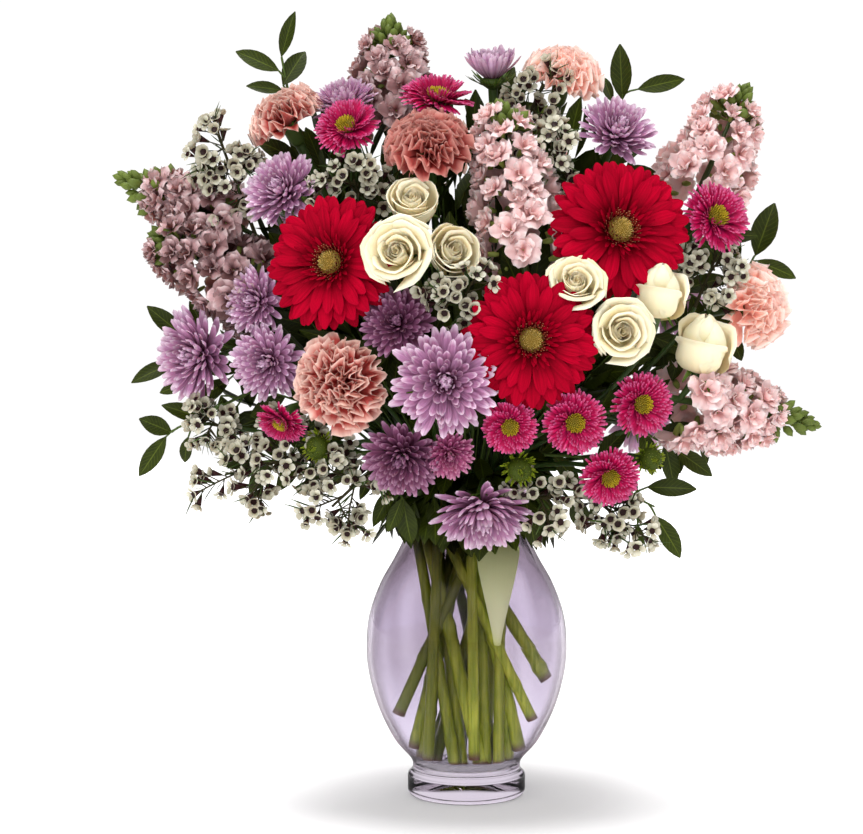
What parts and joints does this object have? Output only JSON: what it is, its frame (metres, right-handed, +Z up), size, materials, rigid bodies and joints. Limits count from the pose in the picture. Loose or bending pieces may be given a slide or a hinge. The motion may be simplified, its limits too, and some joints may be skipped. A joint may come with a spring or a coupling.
{
  "type": "gerberas in a vase",
  "caption": "Mixed bouquet of red gerberas, roses, carnations, chrysanthemums, asters, stock and waxflower, standing in water in an egg-shaped lavender glass vase.",
  "frame": {"origin": "middle of the vase's foot, on the surface that it stands on", "axes": "+Z up; the front of the bouquet faces -Y; +X is to the right as seen from the front"},
  "size_m": [0.4997, 0.2781, 0.5702],
  "materials": {
    "vase_glass": "clear lavender glass, smooth",
    "water": "clear water",
    "green_stem": "smooth fresh stem",
    "gerbera_petal": "velvety deep red petal",
    "gerbera_disc": "olive disc of tiny florets with a red ring",
    "rose_petal": "soft cream petal",
    "aster_petal": "hot pink thin petals round a yellow-green centre",
    "chrysanthemum_petal": "lavender petals with paler tips",
    "carnation_petal": "ruffled coral petal with a pale edge",
    "stock_floret": "ruffled pale pink floret",
    "waxflower": "small waxy white flower with a dark cup",
    "glossy_leaf": "dark glossy leaf"
  },
  "bodies": {
    "root": {"vase": "vase_glass", "water": "water", "stems": "green_stem", "gerbera_disc_left": "gerbera_disc", "gerbera_left": "gerbera_petal", "gerbera_disc_right": "gerbera_disc", "gerbera_right": "gerbera_petal", "gerbera_disc_centre": "gerbera_disc", "gerbera_centre": "gerbera_petal", "rose_spray": "rose_petal", "rose_inner": "rose_petal", "rose_bud": "rose_petal", "rose_open": "rose_petal", "rose_right": "rose_petal", "rose_back": "rose_petal", "aster_upper_left": "aster_petal", "aster_top": "aster_petal", "aster_right": "aster_petal", "aster_centre": "aster_petal", "aster_middle": "aster_petal", "aster_outer": "aster_petal", "aster_lower": "aster_petal", "aster_lower_left": "aster_petal", "aster_back_high": "aster_petal", "aster_back_low": "aster_petal", "mum_spray_front": "chrysanthemum_petal", "mum_over_rim": "chrysanthemum_petal", "mum_spray_left": "chrysanthemum_petal", "mum_upper_left": "chrysanthemum_petal", "mum_upper_right": "chrysanthemum_petal", "mum_top": "chrysanthemum_petal", "mum_top_left": "chrysanthemum_petal", "mum_spray_back_left": "chrysanthemum_petal", "mum_spray_back_right": "chrysanthemum_petal", "carnation_front": "carnation_petal", "carnation_upper": "carnation_petal", "carnation_top_left": "carnation_petal", "carnation_top_right": "carnation_petal", "carnation_right": "carnation_petal", "carnation_back_high": "carnation_petal", "carnation_back_low": "carnation_petal", "stock_left_high": "stock_floret", "stock_left_low": "stock_floret", "stock_top": "stock_floret", "stock_front": "stock_floret", "stock_top_right": "stock_floret", "stock_right_low": "stock_floret", "stock_back": "stock_floret", "waxflower_left_high": "waxflower", "waxflower_left_low": "waxflower", "waxflower_centre": "waxflower", "waxflower_upper": "waxflower", "waxflower_right": "waxflower", "waxflower_right_low": "waxflower", "leaves_top_left": "glossy_leaf", "leaves_top_right": "glossy_leaf", "leaves_right": "glossy_leaf", "leaves_left": "glossy_leaf", "leaves_right_low": "glossy_leaf"}
  },
  "joints": []
}
